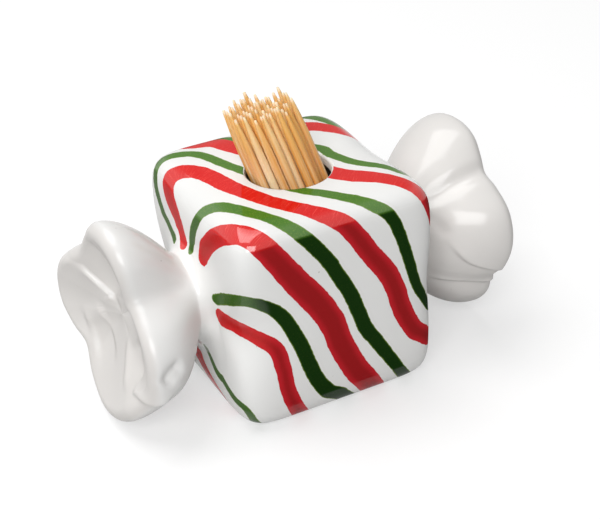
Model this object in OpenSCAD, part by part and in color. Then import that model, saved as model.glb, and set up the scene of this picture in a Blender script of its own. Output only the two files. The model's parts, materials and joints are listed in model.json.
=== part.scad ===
// Toothpick holder shaped as a wrapped candy: a hollow glazed block with a round mouth on top,
// a gathered wrapper twist on each end, and a leaning bundle of loose toothpicks.
// The origin is the centre of the foot on the table. X runs along the candy, Y to the back, Z up.

/* [Block] */
// Length of the block between its end faces
body_length = 48.8; // [43:0.2:64]
// Width of the block, front to back
body_width = 51.8; // [45:0.2:64]
// Height of the block over the table
body_height = 49.8; // [43:0.2:58]
// Power of the rounded edges: higher is squarer
edge_power = 9; // [6:1:12]
// How far the left end's upright edges are gathered in at their middle
left_side_pinch = 7; // [0:0.5:7.5]
// How far the left end's top and foot edges are gathered in at their middle
left_level_pinch = 2.7; // [0:0.1:6]
// How far all the right end's edges are gathered in at their middle
right_pinch = 1.6; // [0:0.1:4]
// Thickness of the fired clay all round
wall = 4; // [3:0.2:6]
// Depth of the flat that is ground on the foot
foot_cut = 0.3; // [0.1:0.1:0.8]

/* [Mouth] */
// Diameter of the mouth
mouth_diameter = 19.2; // [13:0.2:21]
// How far the mouth's centre lies to the front of the block's middle
mouth_forward = 1.2; // [0:0.1:2]
// Width of the bevel round the mouth
mouth_bevel = 0.5; // [0.2:0.1:1]

/* [Necks and twists] */
// Diameter of the neck at the seam
neck_diameter = 20.4; // [15:0.2:25]
// Length of the neck that is moulded with the block
neck_length = 3; // [1.6:0.1:5]
// Length of a twist, from the seam to its lobes' tips
twist_length = 21.8; // [16:0.1:27]
// Nominal radius of a twist's lobes
twist_radius = 23.6; // [18:0.1:24.2]
// Radius of the rounded rim of a twist
twist_lip = 2.6; // [1.6:0.1:3.2]
// Depth of the dished end of a twist
dish_depth = 7.5; // [3:0.5:9.5]
// Depth of the folds that run across the dished end
fold_depth = 3.2; // [0:0.1:4]

/* [Toothpicks] */
// Number of toothpicks in the bundle, as far as the mouth holds them
pick_count = 50; // [1:1:57]
// Diameter of a toothpick
pick_diameter = 1.9; // [1.5:0.05:2.4]
// Length of the longest toothpick
pick_length = 65; // [60:0.5:80]
// How much shorter the shortest toothpick is
pick_shortfall = 1.5; // [0:0.1:3]
// Length of a pointed end
pick_point = 8; // [3:0.5:10]
// Diameter of the blunt tip
pick_tip = 0.7; // [0.3:0.05:1]
// How far the bundle leans to the left in degrees, where the cavity has room for it
lean_left = 15; // [0:0.5:17]
// How far the bundle leans to the back in degrees, where the cavity has room for it
lean_back = 15.5; // [0:0.1:18]
// Gap between toothpicks, and between them and the mouth
pick_gap = 0.1; // [0.08:0.01:0.3]
// Gap under a toothpick and beside its lower end
seat_gap = 0.3; // [0.2:0.05:0.6]

/* [Hidden] */
glaze_colour = [0.96, 0.96, 0.94];
bamboo_colour = [0.87, 0.69, 0.42];
round_steps = 64;
cavity_steps = 40;
// Overrun of a cut past the surface that it opens
cut = 1;

half_length = body_length / 2;
half_width = body_width / 2;
half_height = (body_height + foot_cut) / 2;
centre_height = body_height - half_height;
neck_radius = neck_diameter / 2;
seam_x = half_length + neck_length;
mouth_radius = mouth_diameter / 2;

cavity_half_length = half_length - wall;
cavity_half_width = half_width - wall;
cavity_half_height = body_height / 2 - wall;
cavity_centre = body_height / 2;
// The slip builds up square corners inside, so the cavity is squarer than the block
cavity_power = edge_power + 5;

// Where the rings of the block stand, as shares of its half length
ring_shares = [0, 0.4, 0.65, 0.78, 0.86, 0.915, 0.95, 0.975, 0.99, 0.998];
cavity_ring_shares = [0, 0.767, 0.846, 0.893, 0.927, 0.952, 0.97, 0.983, 0.993, 0.998];
// How the neck swells into the end face: shares of the neck's length and of its radius
neck_shares = [[0.08, 1.28], [0.3, 1.1], [0.62, 1.02], [1, 1]];
// The end face turns from square to round where the block has drawn in to these shares
round_share = 0.42;
square_share = 0.88;
// Power of a circle, and how sharply the gathering grows towards the ends
circle_power = 2;
gather_power = 5;
// How narrow the gathered stretch of an edge is: higher is narrower
pinch_power = 1.6;

// Lobes of the twists: the angle from the back towards the top, then shares of twist_radius,
// of twist_length and of flare_power
left_lobe_shares = [
    [351, 1.03, 0.99, 1],
    [93, 0.92, 0.84, 0.95],
    [214, 0.985, 0.8, 1.25],
    [265, 0.99, 1, 1]
];
right_lobe_shares = [
    [37, 1.05, 1, 0.92],
    [75, 0.99, 0.99, 1],
    [169, 0.945, 0.96, 1],
    [254, 0.957, 0.93, 1.1]
];
// How narrow the lobes are: higher is narrower
left_spread = 1.15;
right_spread = 1.02;
lobe_power = 0.8;
// Power that rounds the creases between lobes: higher is sharper
crease_power = 9;
// Power of the flare from the neck to the rim
flare_power = 1.8;
// Power of the dish from its rim to its centre
dish_power = 1.5;
// How far the rim falls back between lobes, as a share of what the lobe lacks
notch_share = 0.3;
// How softly the flare starts at the seam, as a share of a twist's length
flare_start_share = 0.06;
side_shares = [0, 0.05, 0.12, 0.22, 0.36, 0.5, 0.65, 0.8, 0.92, 1];
lip_angles = [25, 50, 75, 100, 125];
dish_shares = [0.85, 0.66, 0.46, 0.26, 0.1];

// How far below the mouth the lower ends of the toothpicks lie, and how far below its lower edge
pick_depth = body_height - wall - seat_gap;
free_depth = pick_depth - wall;
pick_radius = pick_diameter / 2;
tip_radius = pick_tip / 2;
seat_reach = tip_radius + seat_gap;
// How fast the bundle runs to the right and to the front on its way down, for a given reach of
// its axes at the mouth. Its lower ends come no nearer to the walls than the seat gap.
function lean_slopes(reach) = [
    min(tan(lean_left), (cavity_half_length - seat_reach - reach) / free_depth),
    -min(tan(lean_back), (cavity_half_width - seat_reach - reach - mouth_forward) / free_depth)
];
upright_reach = mouth_radius - pick_radius - pick_gap;
first_slopes = lean_slopes(upright_reach);
lean_stretch = norm([first_slopes.x, first_slopes.y, 1]);
// How far a leaning toothpick's axis may stand from the middle of the mouth
mouth_reach = mouth_radius - pick_radius * lean_stretch - pick_gap;
slopes = lean_slopes(mouth_reach);
lean_length = norm([slopes.x, slopes.y, 1]);
lean_angle = acos(1 / lean_length);
lean_heading = atan2(-slopes.y, -slopes.x);
pick_pitch = pick_diameter + pick_gap;
// Turn of the rows of the bundle, in degrees, and the rings of places that are tried
row_turn = 13;
row_rings = 6;
// Step that scatters the lengths of the toothpicks evenly over their shortfall
scatter_step = 0.618034;

// Place number k on ring number ring of a bundle in which each toothpick has six neighbours
function row_place(ring, k) =
    let(side = floor(k / ring), along = k - side * ring, a = row_turn + side * 60)
    pick_pitch * (ring * [cos(a), sin(a)] + along * [cos(a + 120), sin(a + 120)]);
// A place square to the lean, carried to the level of the mouth along the lean
function at_mouth(p) =
    let(c = cos(lean_heading), s = sin(lean_heading))
    [c * p.x * lean_length - s * p.y, s * p.x * lean_length + c * p.y];
function fits_mouth(p) =
    norm(p + slopes * wall / 2) <= mouth_reach && norm(p - slopes * wall / 2) <= mouth_reach;
bundle_middle = -slopes * wall / 2 - [0, mouth_forward];
all_places = [
    for (ring = [0:row_rings], k = [0:max(0, 6 * ring - 1)])
        let(p = at_mouth(ring == 0 ? [0, 0] : row_place(ring, k)))
        if (fits_mouth(p)) p + bundle_middle
];
places = [for (i = [0:min(pick_count, len(all_places)) - 1]) all_places[i]];

// Height of the cavity's floor at a place, which rises towards the walls
function floor_height(x, y) =
    let(
        s = draw_in(x / cavity_half_length, cavity_power),
        rest = max(0, s ^ cavity_power - (y / cavity_half_width) ^ cavity_power)
    )
    cavity_centre - cavity_half_height * rest ^ (1 / cavity_power);
// Height of the middle of a toothpick's lower tip, whose tilt takes its edge a little lower
function foot_height(place) =
    let(end = place + slopes * pick_depth, x = abs(end.x), y = abs(end.y))
    max(floor_height(x, y) + seat_gap, floor_height(x + seat_reach, y + seat_reach))
    + tip_radius * sin(lean_angle);
function scatter(i) = (i * scatter_step) % 1;

function two_digits(i) = str(i < 10 ? "0" : "", i);
function pick_name(i) = str("toothpick_", two_digits(i));
pick_names = [for (i = [1:len(places)]) pick_name(i)];

// How much a superellipsoid has drawn in at a share of its half length
function draw_in(share, power) = max(0, 1 - abs(share) ^ power) ^ (1 / power);
function rounded(a, power) = (abs(cos(a)) ^ power + abs(sin(a)) ^ power) ^ (-1 / power);
function smooth(t) =
    let(u = min(1, max(0, t)))
    u * u * (3 - 2 * u);

// An angle moved towards the nearest corner, the more so the higher the power
function crowded(a, power) =
    let(narrowing = circle_power / power)
    atan2(sign(sin(a)) * abs(sin(a)) ^ narrowing, sign(cos(a)) * abs(cos(a)) ^ narrowing);

// A ring of points in a plane across X, pinched in at the middle of its upright and level sides.
// Its row holds x, half the width, half the height, the power and the two pinches as shares.
function ring(row, height, steps, crowding) = [
    for (i = [0:steps - 1])
        let(
            a = crowded(i * 360 / steps, crowding),
            pinch = (row[4] * cos(a) ^ 2 + row[5] * sin(a) ^ 2) * ((1 + cos(4 * a)) / 2) ^ pinch_power,
            r = rounded(a, row[3]) * (1 - pinch)
        )
        [row[0], row[1] * r * cos(a), height + row[2] * r * sin(a)]
];
// A closed skin over rings of points, closed at each end by a fan round the ring's middle
module skin(rings) {
    steps = len(rings[0]);
    last = len(rings) - 1;
    middles = [for (r = [rings[0], rings[last]]) [for (i = [0:steps - 1]) 1] * r / steps];
    sides = [
        for (j = [0:last - 1], i = [0:steps - 1])
            let(a = j * steps + i, b = j * steps + (i + 1) % steps)
            for (face = [[b, a, a + steps], [b, a + steps, b + steps]]) face
    ];
    fans = [
        for (i = [0:steps - 1])
            let(n = (i + 1) % steps, far = last * steps, hub = (last + 1) * steps)
            for (face = [[i, n, hub], [far + n, far + i, hub + 1]]) face
    ];
    polyhedron([for (r = rings) each r, each middles], concat(sides, fans), convexity = 6);
}

// The rows of the block's rings from its middle to the seam of one neck, with side -1 or 1
function block_rows(side, side_pinch, level_pinch) = concat(
    [
        for (share = ring_shares)
            let(
                s = draw_in(share, edge_power),
                squareness = smooth((s - round_share) / (square_share - round_share)),
                power = circle_power + (edge_power - circle_power) * squareness,
                gather = share ^ gather_power
            )
            [
                side * share * half_length,
                s * half_width,
                s * half_height,
                power,
                side_pinch / half_width * gather,
                level_pinch / half_height * gather
            ]
    ],
    [
        for (share = neck_shares)
            let(r = neck_radius * share[1])
            [side * (half_length + neck_length * share[0]), r, r, circle_power, 0, 0]
    ]
);
function cavity_rows(side) = [
    for (share = cavity_ring_shares)
        let(s = draw_in(share, cavity_power))
        [
            side * share * cavity_half_length,
            s * cavity_half_width,
            s * cavity_half_height,
            cavity_power,
            0,
            0
        ]
];
// A closed skin from the left rows, outermost first, and on through the right rows
module ringed(left_rows, right_rows, height, steps, crowding) {
    left = [for (i = [len(left_rows) - 1:-1:1]) left_rows[i]];
    skin([for (row = concat(left, right_rows)) ring(row, height, steps, crowding)]);
}
module block() {
    left_rows = block_rows(-1, left_side_pinch, left_level_pinch);
    right_rows = block_rows(1, right_pinch, right_pinch);
    ringed(left_rows, right_rows, centre_height, round_steps, circle_power);
}
module cavity() {
    ringed(cavity_rows(-1), cavity_rows(1), cavity_centre, cavity_steps, cavity_power);
}

// The space that the mouth takes: a bore through the top wall that opens in a bevel
module mouth_space() {
    translate([0, -mouth_forward, body_height])
        rotate_extrude($fn = round_steps)
        polygon([
            [0, -wall - cut],
            [mouth_radius, -wall - cut],
            [mouth_radius, -mouth_bevel],
            [mouth_radius + mouth_bevel + cut, cut],
            [0, cut]
        ]);
}
module candy_body() {
    color(glaze_colour) difference() {
        block();
        cavity();
        mouth_space();
        translate([-body_length, -body_width, -body_height])
            cube([2 * body_length, 2 * body_width, body_height]);
    }
}

// How far a lobe reaches at an angle, as a share of twist_radius
function petal(lobe, spread, a) =
    let(off = abs((a - lobe[0] + 540) % 360 - 180))
    lobe[1] * max(0, cos(min(90, spread * off))) ^ lobe_power;
function sum(values) = values * [for (value = values) 1];

// The profile of a twist at an angle: rows of the distance from the seam and from the axis,
// up its side, over its lip and down its dish
function side_rows(rim, length, flare) = [
    for (s = side_shares)
        let(run = s ^ 2 / (s + flare_start_share) * (1 + flare_start_share))
        [length * s, neck_radius + (rim - neck_radius) * (1 - (1 - run) ^ flare)]
];
function lip_row(rim, length, turn) =
    [length + twist_lip * sin(turn), rim - twist_lip * (1 - cos(turn))];
function dish_rows(edge, lack) =
    let(middle = twist_length - dish_depth)
    [
        for (share = dish_shares)
            let(fold = fold_depth * lack * sin(180 * share))
            [middle + (edge[0] - middle) * share ^ dish_power - fold, edge[1] * share]
    ];
function twist_profile(lobes, spread, a) =
    let(
        weights = [for (lobe = lobes) petal(lobe, spread, a) ^ crease_power],
        total = sum(weights),
        share = total ^ (1 / crease_power),
        rim = twist_radius * share,
        lack = max(0, 1 - share),
        reach = twist_length * (weights * [for (lobe = lobes) lobe[2]]) / total,
        flare = flare_power * (weights * [for (lobe = lobes) lobe[3]]) / total,
        length = (reach - twist_lip) * (1 - notch_share * lack),
        edge = lip_row(rim, length, lip_angles[len(lip_angles) - 1])
    )
    concat(
        side_rows(rim, length, flare),
        [for (turn = lip_angles) lip_row(rim, length, turn)],
        dish_rows(edge, lack)
    );
// A solid twist whose flat seam meets the neck of the block, with side -1 or 1
module twist(lobes, spread, side) {
    angles = [for (i = [0:round_steps - 1]) i * 360 / round_steps];
    profiles = [for (a = angles) twist_profile(lobes, spread, a)];
    levels = len(profiles[0]) - 1;
    rings = [
        for (j = [0:levels]) [
            for (i = [0:round_steps - 1])
                let(p = profiles[i][j])
                [side * (seam_x + p[0]), p[1] * cos(angles[i]), centre_height + p[1] * sin(angles[i])]
        ]
    ];
    skin(side > 0 ? rings : [for (j = [levels:-1:0]) rings[j]]);
}
module wrapper_twist_left() {
    color(glaze_colour) twist(left_lobe_shares, left_spread, -1);
}
module wrapper_twist_right() {
    color(glaze_colour) twist(right_lobe_shares, right_spread, 1);
}

// A toothpick pointed at both ends, standing on its tip
module toothpick(length) {
    rotate_extrude($fn = 32)
        polygon([
            [0, 0],
            [tip_radius, 0],
            [pick_radius, pick_point],
            [pick_radius, length - pick_point],
            [tip_radius, length],
            [0, length]
        ]);
}
// Toothpick number i in its place, leaning through the mouth with its lower end over the floor
module placed_toothpick(i) {
    place = places[i];
    foot = foot_height(place);
    down = body_height - foot;
    color(bamboo_colour)
        translate([place.x + slopes.x * down, place.y + slopes.y * down, foot])
        rotate([0, 0, lean_heading])
        rotate([0, lean_angle, 0])
        toothpick(pick_length - pick_shortfall * scatter(i));
}

candy_body();
wrapper_twist_left();
wrapper_twist_right();
for (i = [0:len(places) - 1])
    placed_toothpick(i);
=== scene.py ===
import json
import math
import random

import bmesh
import bpy
from bpy.props import FloatProperty, FloatVectorProperty, PointerProperty
from mathutils import Matrix, Vector
from mathutils.kdtree import KDTree


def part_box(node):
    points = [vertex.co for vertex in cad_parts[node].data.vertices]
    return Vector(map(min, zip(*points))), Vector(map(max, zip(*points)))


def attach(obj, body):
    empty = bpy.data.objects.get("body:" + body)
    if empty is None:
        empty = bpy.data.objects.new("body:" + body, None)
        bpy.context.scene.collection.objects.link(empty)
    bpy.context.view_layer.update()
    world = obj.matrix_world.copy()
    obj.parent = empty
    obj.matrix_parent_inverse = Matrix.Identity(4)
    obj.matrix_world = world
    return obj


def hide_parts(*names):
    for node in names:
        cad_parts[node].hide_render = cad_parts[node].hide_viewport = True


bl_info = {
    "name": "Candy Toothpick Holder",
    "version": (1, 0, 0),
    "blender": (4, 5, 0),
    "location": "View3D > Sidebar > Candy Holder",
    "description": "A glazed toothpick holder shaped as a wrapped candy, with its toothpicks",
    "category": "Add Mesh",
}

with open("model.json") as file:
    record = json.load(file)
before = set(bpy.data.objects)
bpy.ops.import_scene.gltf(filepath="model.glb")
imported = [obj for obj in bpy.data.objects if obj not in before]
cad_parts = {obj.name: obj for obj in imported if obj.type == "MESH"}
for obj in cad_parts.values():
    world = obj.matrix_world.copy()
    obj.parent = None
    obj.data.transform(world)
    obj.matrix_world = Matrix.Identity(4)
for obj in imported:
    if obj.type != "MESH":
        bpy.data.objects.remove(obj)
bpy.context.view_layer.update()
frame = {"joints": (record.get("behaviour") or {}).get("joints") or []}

MM = 0.001
BODY = "holder"
block_low, block_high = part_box("candy_body")

# Turn angles run from the back (0) over the top (90) and the front (180) to the underside (270).
# Station angles run from the left seam (-90) over the left end (-45), the middle (0) and the right
# end (45) to the right seam (90). The end face meets the fillet of the neck at this station.
FACE_STATION = 57.0
SEAM_STATION = 90.0
CIRCLE_POWER = 2

# Each stripe: its paint, its path as (station, turn), and its width in millimetres by station
STRIPES = [
    ("green", [(-74, 57), (-69, 49), (-62, 44), (-54, 45), (-47.5, 48), (-37, 53), (-29, 60),
        (-22, 79), (-9, 110), (4, 122.5), (18, 133), (26.6, 141), (32.5, 157), (36.5, 173.5),
        (39.5, 182.5), (45.3, 195.5), (54, 204), (62, 208)],
     [(-68, 2.2), (-50, 3.0), (-20, 2.9), (20, 3.2), (60, 2.2)]),
    ("red", [(-72, 80), (-66, 74), (-57, 70), (-51, 62), (-43, 63), (-35, 73), (-30, 97),
        (-23, 116), (-12, 128), (3.7, 139.3), (15.8, 153), (23, 163), (27.2, 173.5), (30.4, 187),
        (35.7, 201), (40.2, 206.5), (46.8, 214), (54, 221), (62, 225)],
     [(-68, 3.0), (-56, 4.2), (-47, 5.2), (-35, 4.6), (-23, 4.3), (0, 4.4), (30, 4.9), (45, 4.2),
      (60, 2.8)]),
    ("green", [(-71, 97), (-62, 95), (-51, 98), (-41.5, 103.8), (-32.7, 121), (-23.3, 134.5),
        (-10.3, 147.7), (-4.2, 156.4), (2.4, 167.6), (7, 179), (11.3, 191), (18, 201.5),
        (25.2, 212.3), (33.4, 224.3), (38, 234), (43, 242), (52, 248), (62, 252)],
     [(-68, 2.4), (-58, 3.0), (-40, 3.3), (10, 3.6), (60, 2.2)]),
    ("red", [(-67.5, 118.5), (-62, 117), (-53, 120), (-42, 128.5), (-36, 138.5), (-25, 154.5),
        (-16.6, 166), (-8.4, 180.5), (-3.3, 195.5), (4.7, 210), (14.5, 221), (28, 239), (33, 242),
        (39, 248), (45, 252), (54, 258), (62, 262)],
     [(-68, 4.7), (-42, 5.0), (-20, 6.2), (10, 5.9), (60, 3.0)]),
    ("green", [(-69, 157.5), (-60, 156), (-50, 155.7), (-44, 157), (-38.2, 161), (-32.2, 168.6),
        (-26.1, 184), (-19.3, 205), (-12.2, 216), (-1.7, 222), (11, 237.5), (23, 262), (27, 280),
        (32, 288), (38, 294), (43, 303), (54, 308), (62, 310)],
     [(-65, 2.8), (-40, 3.1), (-20, 3.7), (5, 4.0), (60, 2.2)]),
    ("red", [(-54, 175.5), (-48, 175.5), (-41.7, 179.5), (-34.7, 188), (-32.4, 200), (-31, 210.5),
        (-27.2, 220), (-20.6, 231), (-12, 246), (-2.2, 268), (16, 288), (28, 298), (38, 310),
        (43, 322), (54, 330), (62, 332)],
     [(-55, 4.4), (-40, 3.7), (-20, 3.7), (60, 2.4)]),
    ("green", [(-74, 240), (-66, 237), (-59, 230), (-53, 224), (-47, 220), (-42, 226), (-36, 234),
        (-29, 242), (-22, 266), (-9, 294), (4, 304), (18, 313), (28, 322), (36, 353), (40, 362),
        (46, 375), (54, 384), (62, 388)],
     [(-68, 1.9), (-40, 2.3), (20, 2.9), (60, 2.0)]),
    ("red", [(-63, 272), (-57, 264), (-51, 250), (-47, 241), (-43, 242), (-35, 253), (-30, 277),
        (-23, 296), (-12, 308), (4, 318), (17, 331), (24, 341), (31, 366), (40, 386), (46, 394),
        (54, 402), (62, 406)],
     [(-68, 3.2), (-40, 4.4), (20, 4.4), (60, 2.8)]),
    ("green", [(-69, 274), (-62, 273), (-51, 278), (-41, 286), (-32, 302), (-23, 314), (-10, 327),
        (-4, 336), (2, 348), (6, 360), (10, 372), (17, 382), (25, 392), (32, 405), (38, 414),
        (43, 422), (52, 428), (62, 432)],
     [(-68, 1.9), (-40, 2.5), (10, 3.6), (30, 4.0), (60, 2.2)]),
    ("red", [(-68, 298), (-61, 298), (-52, 302), (-42, 308), (-36, 318), (-25, 334), (-18, 346),
        (-10, 361), (-4, 376), (4, 389), (14, 402), (24, 414), (28, 418), (33, 421), (39, 427),
        (45, 432), (54, 438), (62, 442)],
     [(-68, 2.8), (-42, 4.0), (-20, 5.2), (10, 5.6), (28, 5.2), (60, 3.0)]),
    ("green", [(-64, 340), (-54, 338), (-44, 338), (-38, 343), (-34, 350), (-28, 366), (-23, 385),
        (-18, 405), (-11, 412), (6, 424), (23, 440), (25, 450), (28, 460), (32, 467), (38, 474),
        (43, 482), (54, 488), (62, 490)],
     [(-64, 2.3), (-40, 3.0), (0, 2.8), (25, 3.0), (60, 2.1)]),
    ("red", [(-58, 354), (-48, 357), (-42, 360), (-37, 372), (-34, 390), (-32, 400), (-28, 408),
        (-19, 412), (-14, 419), (0, 440), (16, 466.5), (22, 474), (28, 478.5), (34, 484),
        (39, 490.5), (43, 497), (47, 504), (54, 510), (62, 512)],
     [(-60, 2.4), (-40, 3.4), (-28, 5.2), (0, 5.2), (25, 5.4), (42, 3.8), (60, 2.8)]),
]

# Rims of the twists: turn, then shares of the nominal radius, of the length and of the flare
LEFT_RIM = [
    (351, 1.03, 0.99, 1.0), (12, 0.97, 0.98, 1.0), (28, 0.85, 0.95, 1.0), (44, 0.785, 0.9, 1.0),
    (60, 0.84, 0.87, 0.95), (82, 0.955, 0.85, 0.95), (104, 0.94, 0.83, 0.95),
    (120, 0.82, 0.82, 0.95), (136, 0.6, 0.82, 0.95), (150, 0.65, 0.8, 1.1), (168, 0.81, 0.79, 1.2),
    (186, 0.93, 0.78, 1.25), (203, 0.99, 0.79, 1.25), (216, 0.955, 0.83, 1.2),
    (232, 0.97, 0.95, 1.1), (262, 0.99, 1.0, 1.0), (290, 0.9, 0.99, 1.0), (313, 0.78, 0.98, 1.0),
    (332, 0.93, 0.98, 1.0),
]
RIGHT_RIM = [
    (37, 1.03, 1.0, 0.92), (58, 1.04, 1.0, 0.95), (78, 1.02, 0.99, 1.0), (98, 0.96, 0.985, 1.0),
    (112, 0.86, 0.98, 1.0), (124, 0.8, 0.975, 1.0), (138, 0.85, 0.97, 1.0), (158, 0.94, 0.96, 1.0),
    (178, 0.94, 0.955, 1.0), (198, 0.86, 0.95, 1.05), (211, 0.8, 0.94, 1.05), (228, 0.9, 0.93, 1.1),
    (254, 0.957, 0.93, 1.1), (285, 0.93, 0.95, 1.05), (320, 0.78, 0.97, 1.0),
    (350, 0.9, 0.98, 0.95), (13, 0.99, 1.0, 0.92),
]
# Folds of the twists: rise and width in millimetres, whether one side of it is steep, and its path
# as (level, turn), with levels from the seam (0) over the rim (1) to the middle of the end (2)
LEFT_FOLDS = [
    (-2.0, 3.6, False, [(1.14, 84), (1.35, 76), (1.6, 72), (1.82, 90)]),
    (1.0, 5.0, True, [(1.1, 36), (1.2, 31), (1.35, 29), (1.55, 27), (1.72, 28), (1.84, 34)]),
    (0.9, 2.6, False, [(1.2, 330), (1.45, 335), (1.7, 345)]),
    (-0.8, 4.0, False, [(1.1, 308), (1.35, 300), (1.6, 290)]),
    (0.5, 1.2, False, [(1.8, 205), (1.6, 226), (1.4, 232), (1.15, 232)]),
    (-0.9, 2.4, False, [(1.6, 190), (1.4, 205), (1.2, 205)]),
    (0.9, 1.4, True, [(0.66, 201), (0.81, 205), (0.96, 209), (1.09, 218), (1.17, 224)]),
    (-1.4, 1.6, False, [(0.8, 195), (0.7, 189), (0.5, 186)]),
]
RIGHT_FOLDS = [
    (-0.8, 1.9, False, [(0.98, 123), (0.8, 123), (0.6, 124), (0.35, 127), (0.12, 131)]),
    (0.8, 3.0, True, [(0.95, 199), (0.78, 194), (0.63, 190), (0.42, 183), (0.24, 166)]),
    (0.8, 2.6, True, [(0.98, 217), (0.85, 214), (0.58, 209), (0.34, 212), (0.15, 218)]),
    (-0.5, 1.6, False, [(0.14, 140), (0.2, 152), (0.27, 167)]),
    (-1.5, 3.4, False, [(1.14, 124), (1.4, 119), (1.75, 108)]),
    (-1.3, 3.2, False, [(1.14, 322), (1.4, 318), (1.75, 305)]),
    (1.1, 4.0, True, [(1.12, 262), (1.3, 254), (1.55, 245), (1.8, 232)]),
    (0.9, 2.6, False, [(1.2, 58), (1.45, 64), (1.72, 72)]),
    (0.8, 2.4, False, [(1.2, 186), (1.42, 182), (1.7, 176)]),
]


def length_of(name, description, default):
    return FloatProperty(name=name, description=description, default=default, unit="LENGTH")


def angle_of(name, description, degrees):
    default = math.radians(degrees)
    return FloatProperty(name=name, description=description, default=default, subtype="ANGLE")


def number_of(name, description, default):
    return FloatProperty(name=name, description=description, default=default)


def colour_of(name, description, default):
    return FloatVectorProperty(name=name, description=description, default=default, subtype="COLOR")


class BlockSettings(bpy.types.PropertyGroup):
    width: length_of("Width", "Width of the block, front to back", block_high.y - block_low.y)
    height: length_of("Height", "Height of the block over the table", block_high.z)
    length_over_necks: length_of(
        "Length over necks", "Length of the block with both necks", block_high.x - block_low.x)
    neck_length: length_of("Neck length", "Length of each neck", 3 * MM)
    neck_radius: length_of("Neck radius", "Radius of each neck at its seam", 10.2 * MM)
    foot_cut: length_of("Foot cut", "Depth of the flat ground on the foot", 0.3 * MM)
    edge_power: number_of("Edge power", "How square the rounded edges are", 9)
    left_side_pinch: length_of(
        "Left side pinch", "How far the left end's upright edges are gathered in", 7 * MM)
    left_level_pinch: length_of(
        "Left level pinch", "How far the left end's level edges are gathered in", 2.7 * MM)
    left_foot_swell: length_of(
        "Left foot swell", "How far the lower part of the left end swells out", 0.9 * MM)
    right_pinch: length_of("Right pinch", "How far the right end's edges are gathered in", 1.6 * MM)
    wall: length_of("Wall", "Thickness of the fired clay", 4 * MM)
    cavity_power: number_of("Cavity power", "How square the cavity's edges are", 14)
    mouth_radius: length_of("Mouth radius", "Radius of the mouth", 9.6 * MM)
    mouth_forward: length_of(
        "Mouth forward", "How far the mouth lies to the front of the middle", 1.2 * MM)
    mouth_lip: length_of("Mouth lip", "Radius of the rounded edge of the mouth", 0.7 * MM)
    mouth_edge: length_of("Mouth edge", "Thickness of the top where the mouth is cut", 2.2 * MM)


class TwistSettings(bpy.types.PropertyGroup):
    length: length_of("Length", "Length of a twist from its seam to its longest lobe", 21.8 * MM)
    radius: length_of("Radius", "Nominal radius of the lobes", 23.6 * MM)
    lip: length_of("Lip", "Radius of the rounded rim", 2.6 * MM)
    dish_depth: length_of("Dish depth", "Depth of the dished end", 7.5 * MM)
    fold_depth: length_of("Fold depth", "Depth of the folds across the dished end", 3.2 * MM)


class ToothpickSettings(bpy.types.PropertyGroup):
    radius: length_of("Radius", "Radius of a toothpick", 0.95 * MM)
    tip_radius: length_of("Tip radius", "Radius of the blunt tips", 0.35 * MM)
    point: length_of("Point", "Length of a pointed end", 10 * MM)
    pale: colour_of("Pale wood", "Colour of the pale grain", (0.89, 0.7, 0.44))
    dark: colour_of("Dark wood", "Colour of the dark grain", (0.72, 0.32, 0.06))
    golden: colour_of("Golden wood", "Colour of the wood towards the tips", (0.86, 0.52, 0.15))
    # Paler cut wood at the blunt ends, lightened further as a painted highlight
    cut_end_highlight: colour_of("Cut end", "Colour of the cut wood with its painted highlight", (0.97, 0.88, 0.72))


class PaintSettings(bpy.types.PropertyGroup):
    white: colour_of("White", "Colour of the bare glaze", (0.77, 0.77, 0.757))
    twist_white: colour_of(
        "Twist white", "Colour of the bare glaze on the twists", (0.76, 0.755, 0.742))
    # Painted shade: a greyer white for the dished ends and the whole right twist, where less light
    # falls
    painted_shade_white: colour_of(
        "Shaded white", "Painted shade of the glaze on the dished ends and the right twist", (0.65, 0.628, 0.606))
    speck: colour_of("Speck", "Colour of the few dark specks", (0.25, 0.22, 0.19))
    # The red and green for upper surfaces are painted light, and those for upright surfaces are
    # painted shade: the paint is lighter on top and darker on upright faces because of how the
    # light falls
    red_painted_lit: colour_of(
        "Lit red", "Red lightened on upper surfaces as painted light", (0.61, 0.006, 0.004))
    red_painted_shade: colour_of(
        "Shaded red", "Red darkened on upright surfaces as painted shade", (0.3, 0.009, 0.011))
    red_edge: colour_of(
        "Red edge", "Red at the thinner edges of the stripes on upright surfaces",
        (0.5, 0.014, 0.022))
    red_streak: colour_of(
        "Red streak", "Red of the brush marks on upper surfaces", (0.9, 0.09, 0.07))
    green_painted_lit: colour_of(
        "Lit green", "Green lightened on upper surfaces as painted light", (0.055, 0.165, 0.012))
    green_painted_shade: colour_of(
        "Shaded green", "Green darkened on upright surfaces as painted shade",
        (0.004, 0.026, 0.001))
    green_rim: colour_of(
        "Green rim", "Colour of the thin rims of the green stripes", (0.2, 0.3, 0.03))


class StudioSettings(bpy.types.PropertyGroup):
    azimuth: angle_of(
        "Azimuth", "Camera angle round the holder, from the front to the right", -26.5)
    elevation: angle_of("Elevation", "Camera angle over the table", 31)
    roll: angle_of("Roll", "Turn of the camera round its own axis", -2.7)
    distance: length_of("Distance", "Distance of the camera from the holder's middle", 305 * MM)
    middle_height: length_of(
        "Middle height", "Height of the point that the camera looks at", 25.7 * MM)
    lens: number_of("Lens", "Focal length in millimetres", 79.2)
    sensor: number_of("Sensor", "Sensor width in millimetres", 36)
    top_light: number_of("Top light", "Power of the overhead softbox in watts", 9.5)
    front_light: number_of("Front light", "Power of the front left softbox in watts", 9.8)
    ambient: number_of("Ambient", "Strength of the light from all round", 0.15)


# Shapes

MERGE_DISTANCE = 0.001 * MM
SLIVER_LENGTH = 0.0005 * MM

# Shares of the half width between which the block's section goes from round to square
ROUND_UNDER = 0.42
SQUARE_OVER = 0.88
# Powers that keep the gathers near the block's ends and near its four long edges
END_GATHER = 5
EDGE_GATHER = 1.6
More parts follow.
